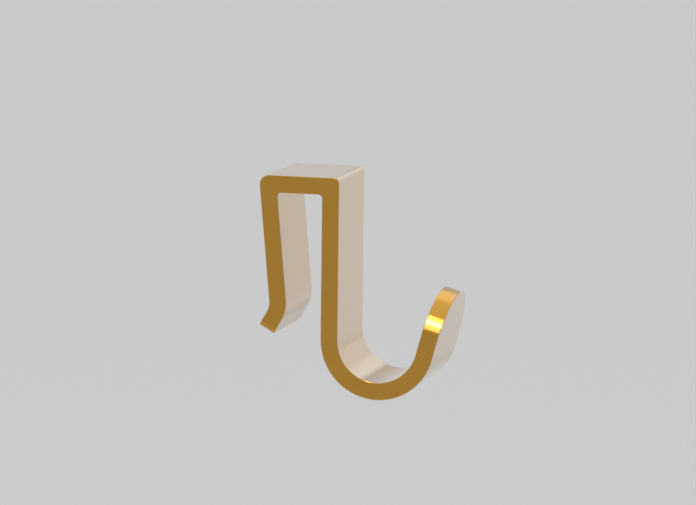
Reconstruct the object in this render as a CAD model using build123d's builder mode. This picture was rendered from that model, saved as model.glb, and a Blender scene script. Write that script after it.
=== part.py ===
from build123d import *
import os
from math import radians, tan

# Towel hook that hangs over the top edge of a panel: one bent metal strip, a clip with a J in front.
# The origin is the middle of the seat, the underside of the top bar, which rests on the panel's edge.
# X runs across the panel, towards the J. Y runs along the panel's edge. Z is up.

# Strip
strip_thickness = 4.6
strip_width = 26.5
edge_radius = 0.15

# Top bar and slot
slot_width = 12.5
slot_corner_radius = 1.1
bar_rear_corner_radius = 2.6
bar_front_corner_radius = 1.4

# Back leg, which leans towards the panel and ends in a flared lip
back_leg_slant = 5.4
back_leg_straight = 29.0
flare_angle = 35.0
flare_radius = 5.0
lip_length = 4.3
lip_corner_radius = 1.2

# Front leg, J and free leg
hook_depth = 39.0
hook_radius = 11.0
free_leg_lean = 15.0
free_leg_straight = 4.2

# Corners of the side profile
rear_slot_corner = Vector(-slot_width / 2, 0)
front_slot_corner = Vector(slot_width / 2, 0)
rear_bar_corner = rear_slot_corner + Vector(
    -strip_thickness * tan(radians(45 + back_leg_slant / 2)), strip_thickness
)
front_bar_corner = front_slot_corner + Vector(strip_thickness, strip_thickness)
hook_centre = front_slot_corner + Vector(strip_thickness + hook_radius, -hook_depth)

# Directions along each leg towards its tip, and out through its thickness
back_along = Vector(0, -1).rotate(Axis.Z, back_leg_slant)
lip_along = back_along.rotate(Axis.Z, -flare_angle)
lip_out = lip_along.rotate(Axis.Z, -90)
free_along = Vector(0, 1).rotate(Axis.Z, -free_leg_lean)
free_out = free_along.rotate(Axis.Z, -90)
free_leg_length = free_leg_straight + strip_width / 2


with BuildPart() as towel_hook:
    with BuildSketch(Plane.XZ) as profile:
        with BuildLine() as outline:
            # The side that faces the panel, and then runs under the J to the outside of the free leg
            seat = Line(rear_slot_corner, front_slot_corner)
            back_inner = Line(seat @ 0, seat @ 0 + back_along * back_leg_straight)
            flare_inner = JernArc(
                back_inner @ 1, back_along, flare_radius + strip_thickness, -flare_angle
            )
            lip_inner = Line(flare_inner @ 1, flare_inner @ 1 + lip_along * lip_length)
            front_inner = Line(seat @ 1, seat @ 1 - Vector(0, hook_depth))
            hook_outer = CenterArc(
                hook_centre, hook_radius + strip_thickness, 180, 180 - free_leg_lean
            )
            free_outer = Line(hook_outer @ 1, hook_outer @ 1 + free_along * free_leg_length)
            # The side that faces away from the panel, and then lines the J that the towel hangs in
            lip_end = Line(lip_inner @ 1, lip_inner @ 1 + lip_out * strip_thickness)
            lip_outer = Line(lip_end @ 1, lip_end @ 1 - lip_along * lip_length)
            flare_outer = JernArc(lip_outer @ 1, -lip_along, flare_radius, flare_angle)
            back_outer = Line(flare_outer @ 1, rear_bar_corner)
            bar_top = Line(rear_bar_corner, front_bar_corner)
            hook_inner = CenterArc(hook_centre, hook_radius, 180, 180 - free_leg_lean)
            front_outer = Line(front_bar_corner, hook_inner @ 0)
            free_inner = Line(hook_inner @ 1, hook_inner @ 1 + free_along * free_leg_length)
            free_end = Line(free_inner @ 1, free_outer @ 1)
        make_face()
        fillet(
            profile.vertices().sort_by_distance(rear_bar_corner)[0], radius=bar_rear_corner_radius
        )
        fillet(
            profile.vertices().sort_by_distance(front_bar_corner)[0], radius=bar_front_corner_radius
        )
        fillet(profile.vertices().sort_by_distance((0, 0))[:2], radius=slot_corner_radius)
    extrude(amount=strip_width / 2, both=True)

    # The lip ends square, with its corners rounded
    across_lip = Axis((0, 0, 0), (lip_out.X, 0, lip_out.Y))
    fillet(towel_hook.edges().filter_by(across_lip), radius=lip_corner_radius)

    # The free leg ends in a half circle as wide as the strip, cut square to the leg
    tip_corner = free_end @ 0
    across_free_leg = Axis((0, 0, 0), (free_out.X, 0, free_out.Y))
    tip_plane = Plane(
        origin=(tip_corner.X, 0, tip_corner.Y), x_dir=(0, 1, 0), z_dir=across_free_leg.direction
    )
    with BuildSketch(tip_plane) as tip_waste:
        with Locations((0, -strip_width / 4)):
            Rectangle(strip_width, strip_width / 2)
        with Locations((0, -strip_width / 2)):
            Circle(strip_width / 2, mode=Mode.SUBTRACT)
    extrude(amount=strip_thickness, mode=Mode.SUBTRACT)

    # Every edge along the strip is broken, on round both ends. The seams across it are smooth already.
    rim = towel_hook.edges().filter_by(Axis.Y, reverse=True)
    rim -= rim.filter_by(across_lip)
    rim -= rim.filter_by(across_free_leg)
    fillet(rim, radius=edge_radius)

os.makedirs("parts", exist_ok=True)
towel_hook.part.label = "towel_hook"
export_step(towel_hook.part, "parts/towel_hook.step")
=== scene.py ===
import math

import bpy
from mathutils import Matrix, Vector


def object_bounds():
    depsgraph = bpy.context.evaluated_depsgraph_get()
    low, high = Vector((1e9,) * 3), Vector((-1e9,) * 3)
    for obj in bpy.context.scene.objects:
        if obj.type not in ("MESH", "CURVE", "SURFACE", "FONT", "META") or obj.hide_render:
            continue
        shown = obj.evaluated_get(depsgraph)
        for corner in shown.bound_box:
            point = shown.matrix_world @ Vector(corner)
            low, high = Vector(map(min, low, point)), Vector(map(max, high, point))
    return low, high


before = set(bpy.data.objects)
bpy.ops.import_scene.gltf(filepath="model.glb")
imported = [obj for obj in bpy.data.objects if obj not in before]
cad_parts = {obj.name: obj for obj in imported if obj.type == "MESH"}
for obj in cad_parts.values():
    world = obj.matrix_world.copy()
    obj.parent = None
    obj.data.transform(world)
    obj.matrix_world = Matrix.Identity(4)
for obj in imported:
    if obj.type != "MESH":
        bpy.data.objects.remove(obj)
cadLow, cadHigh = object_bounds()
scene = bpy.context.scene
print("frame loaded:", ", ".join(sorted(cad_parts)))


def deselectAll():
    for thing in bpy.context.selected_objects:
        thing.select_set(False)


# Colours are written as sRGB hex and turned to the linear values that Blender mixes
def linearColor(hexCode):
    channels = [int(hexCode[i:i + 2], 16) / 255 for i in (1, 3, 5)]
    return [c / 12.92 if c <= 0.04045 else ((c + 0.055) / 1.055) ** 2.4 for c in channels] + [1]


# Adds one node. Settings are its attributes. Sockets go by name or identifier, each with a value
# or a link.
def addNode(tree, kind, settings=None, **sockets):
    node = tree.nodes.new(kind)
    for name, value in (settings or {}).items():
        setattr(node, name, value)
    for name, value in sockets.items():
        socket = next(s for s in node.inputs if name in (s.identifier, s.name.replace(" ", "_")))
        if isinstance(value, bpy.types.NodeSocket):
            tree.links.new(value, socket)
        else:
            socket.default_value = value
    return node


# A new material, with its node tree empty
def newTree(name):
    made = bpy.data.materials.new(name)
    made.use_nodes = True
    made.node_tree.nodes.clear()
    return made, made.node_tree


# A glow is a soft round spot in some direction. Its azimuth is in degrees from +Y towards +X, and
# its spread in degrees from its middle to where it has faded out. Its share is 1 in its middle.
def glowShare(tree, direction, glow):
    azimuth, elevation = math.radians(glow["azimuth"]), math.radians(glow["elevation"])
    middle = (
        math.sin(azimuth) * math.cos(elevation),
        math.cos(azimuth) * math.cos(elevation),
        math.sin(elevation),
    )
    towards = addNode(
        tree, "ShaderNodeVectorMath", {"operation": "DOT_PRODUCT"},
        Vector=direction, Vector_001=middle,
    )
    share = addNode(
        tree, "ShaderNodeMapRange", {"interpolation_type": "SMOOTHSTEP"},
        Value=towards.outputs["Value"],
        From_Min=math.cos(math.radians(glow["spread"])), From_Max=1,
    )
    return share.outputs["Result"]


# Turns a plain colour to each glow's own, where the direction nears its middle
def mixGlows(tree, direction, color, glows):
    for glow in glows:
        mixed = addNode(
            tree, "ShaderNodeMix", {"data_type": "RGBA"},
            Factor_Float=glowShare(tree, direction, glow), A_Color=color, B_Color=glow["color"],
        )
        color = mixed.outputs[2]
    return color


# Camera, at the angle that the hook is seen from
view = {
    "target": (0.01006, 0, -0.0172),
    "azimuth": 14.82,    # degrees from -Y towards +X
    "elevation": 8.5,
    "roll": 0.71,
    "distance": 1.5156,
    "lens": 291.8,
    "nearest": 0.05,
    "farthest": 40,
}
azimuth, elevation, roll = (math.radians(view[key]) for key in ("azimuth", "elevation", "roll"))
back = Vector((
    math.sin(azimuth) * math.cos(elevation),
    -math.cos(azimuth) * math.cos(elevation),
    math.sin(elevation),
))
sideways = Vector((math.cos(azimuth), math.sin(azimuth), 0))
right = sideways * math.cos(roll) + back.cross(sideways) * math.sin(roll)
bpy.ops.object.camera_add(location=Vector(view["target"]) + back * view["distance"])
camera = bpy.context.object
camera.name = "camera"
camera.rotation_euler = Matrix((right, back.cross(right), back)).transposed().to_euler()
camera.data.lens = view["lens"]
camera.data.clip_start = view["nearest"]
camera.data.clip_end = view["farthest"]
scene.camera = camera
print("camera placed")


# A plain pale floor, well below the hanging hook. Painted light makes it a little paler in front,
# and paler still far off behind right: a painted pool of the daylight that falls there.
stage = {
    "floorBelow": 0.25,
    "size": 30,
    "paint": "#C8C8C8",
    # painted light: paler paint in front, and a painted pool of daylight behind right
    "paintedLight": (
        {"azimuth": 194, "elevation": 0, "spread": 130, "color": linearColor("#D2D2D2")},
        {"azimuth": 14, "elevation": 0, "spread": 15, "color": linearColor("#E6EBF4")},
    ),
    "evenWithin": 0.18,    # metres round the hook, where the floor is nearly one colour
    "roughness": 0.9,
    "specular": 0.1,
}
deselectAll()
floorPlace = (0, 0, cadLow.z - stage["floorBelow"])
bpy.ops.mesh.primitive_plane_add(size=stage["size"], location=floorPlace)
floor = bpy.context.object
floor.name = "floor"
bpy.ops.object.transform_apply(location=True, rotation=True, scale=True)
floorPaintAndLight, tree = newTree("matt_pale_floor_paint")
place = addNode(tree, "ShaderNodeTexCoord")
flat = addNode(
    tree, "ShaderNodeVectorMath", {"operation": "MULTIPLY_ADD"},
    Vector=place.outputs["Object"], Vector_001=(1, 1, 0), Vector_002=(0, 0, stage["evenWithin"]),
)
side = addNode(
    tree, "ShaderNodeVectorMath", {"operation": "NORMALIZE"}, Vector=flat.outputs["Vector"]
)
# The floor's colour carries painted light: paler in front, and paler still where the daylight
# falls behind right
paint = mixGlows(tree, side.outputs["Vector"], linearColor(stage["paint"]), stage["paintedLight"])
surface = addNode(
    tree, "ShaderNodeBsdfPrincipled",
    Base_Color=paint, Roughness=stage["roughness"], Specular_IOR_Level=stage["specular"],
)
addNode(tree, "ShaderNodeOutputMaterial", Surface=surface.outputs["BSDF"])
floor.data.materials.append(floorPaintAndLight)
print("floor made")


# A tall soft box in front, with a brighter tube in it
frontLight = {
    "aim": (0.03, 0, -0.03),
    "lamps": {
        "frontBox": {"place": (-0.045, -0.787, 0.512), "size": (0.16, 0.556), "radiance": 2.5},
        "frontTube": {"place": (-0.044, -0.724, 0.593), "size": (0.12, 0.35), "radiance": 15},
    },
}
for name, lamp in frontLight["lamps"].items():
    deselectAll()
    bpy.ops.object.light_add(type="AREA", location=lamp["place"])
    box = bpy.context.object
    box.name = name
    box.data.shape = "RECTANGLE"
    box.data.size, box.data.size_y = lamp["size"]
    box.data.energy = lamp["radiance"] * math.pi * lamp["size"][0] * lamp["size"][1]
    facing = Vector(lamp["place"]) - Vector(frontLight["aim"])
    box.rotation_euler = facing.to_track_quat("Z", "Y").to_euler()
    box.visible_camera = False
print("lamps set")


# The rest of the studio's light is even, and stronger from above. Cool daylight comes in low from
# behind right, and a large diffuser hangs high behind.
studio = {
    "strength": 0.645,
    "strengthAbove": 1.2,
    "rise": (0.3, 1),    # heights on a unit sphere, where the strength starts and ends its rise
    "daylight": (        # linear colours, because they are brighter than white
        {"azimuth": 12, "elevation": 7, "spread": 19, "color": (1.43, 1.55, 1.78, 1)},
        {"azimuth": 4, "elevation": 16.6, "spread": 10, "color": (1.62, 1.78, 2, 1)},
    ),
    "diffuser": {"azimuth": 2, "elevation": 62, "spread": 27, "strength": 0.5},
}
world = bpy.data.worlds.new("studio_light")
scene.world = world
world.use_nodes = True
tree = world.node_tree
tree.nodes.clear()
direction = addNode(tree, "ShaderNodeTexCoord").outputs["Generated"]
height = addNode(tree, "ShaderNodeSeparateXYZ", Vector=direction)
evenStrength = addNode(
    tree, "ShaderNodeMapRange", {"interpolation_type": "SMOOTHSTEP"}, Value=height.outputs["Z"],
    From_Min=studio["rise"][0], From_Max=studio["rise"][1],
    To_Min=studio["strength"], To_Max=studio["strengthAbove"],
)
strength = addNode(
    tree, "ShaderNodeMath", {"operation": "MULTIPLY_ADD"},
    Value=glowShare(tree, direction, studio["diffuser"]),
    Value_001=studio["diffuser"]["strength"], Value_002=evenStrength.outputs["Result"],
)
tint = mixGlows(tree, direction, (1, 1, 1, 1), studio["daylight"])
sky = addNode(tree, "ShaderNodeBackground", Color=tint, Strength=strength.outputs["Value"])
addNode(tree, "ShaderNodeOutputWorld", Surface=sky.outputs["Background"])
print("studio lit")


# Finish of the hook. Bent brass strip is ground and buffed along its length, plated with gold and
# dipped in clear lacquer. The plate gives the deep yellow, and the lacquer the pale gloss on faces
# seen nearly edge on. The buffing leaves faint lines along the strip. Along the broken edges the
# plate colour is painted paler, as a painted highlight.
goldPlate = {
    "color": "#B8860F",
    "thinPlateAndHighlightColor": "#C4953A",       # where the plate is a little thinner over the brass, and the painted highlight on the edges
    "patchSize": 0.012,
    "patchDetail": 4,
    "patchNoise": (0.4, 0.75),    # noise at which a patch starts to thin, and is at its thinnest
    "patchThinning": 0.25,
    "lineSpacing": 0.0004,        # the real 0.03 mm is too fine to show, so it is drawn coarser
    "lineLength": 0.025,
    "lineDetail": 3,
    "lineGrain": 0.6,
    "lineDepth": 0.0000006,
    "roughness": 0.12,
    "roughnessSpread": 0.035,
    "buffingNoise": (0.12, 0.42),    # noise at which the gloss is at its highest and lowest
    "edgeWidth": 0.0005,
    "edgeSamples": 8,
    "edgeTurn": (0.99, 0.85),     # cosine of the normals' angle where the painted edge highlight starts, and is full
    "edgeHighlight": 0.6,
    "peelSize": 0.0018,           # slow ripple of the dried lacquer
    "peelDetail": 1,
    "peelDepth": 0.000001,
    "lacquerRoughness": 0.05,
}
platedBrass, tree = newTree("buffed_gold_plated_brass")
place = addNode(tree, "ShaderNodeTexCoord").outputs["Object"]
acrossLines, alongLines = 1 / goldPlate["lineSpacing"], 1 / goldPlate["lineLength"]
stretched = addNode(
    tree, "ShaderNodeMapping", Vector=place, Scale=(alongLines, acrossLines, alongLines)
)
lines = addNode(
    tree, "ShaderNodeTexNoise", Vector=stretched.outputs["Vector"], Scale=1,
    Detail=goldPlate["lineDetail"], Roughness=goldPlate["lineGrain"],
)
patches = addNode(
    tree, "ShaderNodeTexNoise", Vector=place,
    Scale=1 / goldPlate["patchSize"], Detail=goldPlate["patchDetail"],
)
ripple = addNode(
    tree, "ShaderNodeTexNoise", Vector=place,
    Scale=1 / goldPlate["peelSize"], Detail=goldPlate["peelDetail"],
)

# On a broken edge, the rounded normal turns away from the face's own
rounded = addNode(
    tree, "ShaderNodeBevel", {"samples": goldPlate["edgeSamples"]}, Radius=goldPlate["edgeWidth"]
)
ownNormal = addNode(tree, "ShaderNodeNewGeometry")
agreement = addNode(
    tree, "ShaderNodeVectorMath", {"operation": "DOT_PRODUCT"},
    Vector=rounded.outputs["Normal"], Vector_001=ownNormal.outputs["Normal"],
)
# Painted highlight: the broken edges are painted paler
edgeHighlightShare = addNode(
    tree, "ShaderNodeMapRange", Value=agreement.outputs["Value"],
    From_Min=goldPlate["edgeTurn"][0], From_Max=goldPlate["edgeTurn"][1],
    To_Max=goldPlate["edgeHighlight"],
)

# Thin plate shows in patches, and a painted highlight along the edges
patchShare = addNode(
    tree, "ShaderNodeMapRange", Value=patches.outputs["Fac"],
    From_Min=goldPlate["patchNoise"][0], From_Max=goldPlate["patchNoise"][1],
    To_Max=goldPlate["patchThinning"],
)
thinPlateAndHighlightShare = addNode(
    tree, "ShaderNodeMath", {"operation": "ADD", "use_clamp": True},
    Value=patchShare.outputs["Result"], Value_001=edgeHighlightShare.outputs["Result"],
)
plateColor = addNode(
    tree, "ShaderNodeMix", {"data_type": "RGBA"}, Factor_Float=thinPlateAndHighlightShare.outputs["Value"],
    A_Color=linearColor(goldPlate["color"]), B_Color=linearColor(goldPlate["thinPlateAndHighlightColor"]),
)

# Buffed lines and patches vary the gloss
buffing = addNode(
    tree, "ShaderNodeMath", {"operation": "MULTIPLY"},
    Value=lines.outputs["Fac"], Value_001=patches.outputs["Fac"],
)
plateRoughness = addNode(
    tree, "ShaderNodeMapRange", Value=buffing.outputs["Value"],
    From_Min=goldPlate["buffingNoise"][0], From_Max=goldPlate["buffingNoise"][1],
    To_Min=goldPlate["roughness"] - goldPlate["roughnessSpread"],
    To_Max=goldPlate["roughness"] + goldPlate["roughnessSpread"],
)
peelBump = addNode(
    tree, "ShaderNodeBump", Distance=goldPlate["peelDepth"], Height=ripple.outputs["Fac"]
)
lineBump = addNode(
    tree, "ShaderNodeBump", Distance=goldPlate["lineDepth"], Height=lines.outputs["Fac"],
    Normal=peelBump.outputs["Normal"],
)
metal = addNode(
    tree, "ShaderNodeBsdfPrincipled", Metallic=1,
    Base_Color=plateColor.outputs[2], Roughness=plateRoughness.outputs["Result"],
    Coat_Weight=1, Coat_Roughness=goldPlate["lacquerRoughness"],
    Normal=lineBump.outputs["Normal"], Coat_Normal=peelBump.outputs["Normal"],
)
addNode(tree, "ShaderNodeOutputMaterial", Surface=metal.outputs["BSDF"])
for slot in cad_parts["towel_hook"].material_slots:
    slot.material = platedBrass
print("hook finished")

scene.view_settings.view_transform = "Standard"
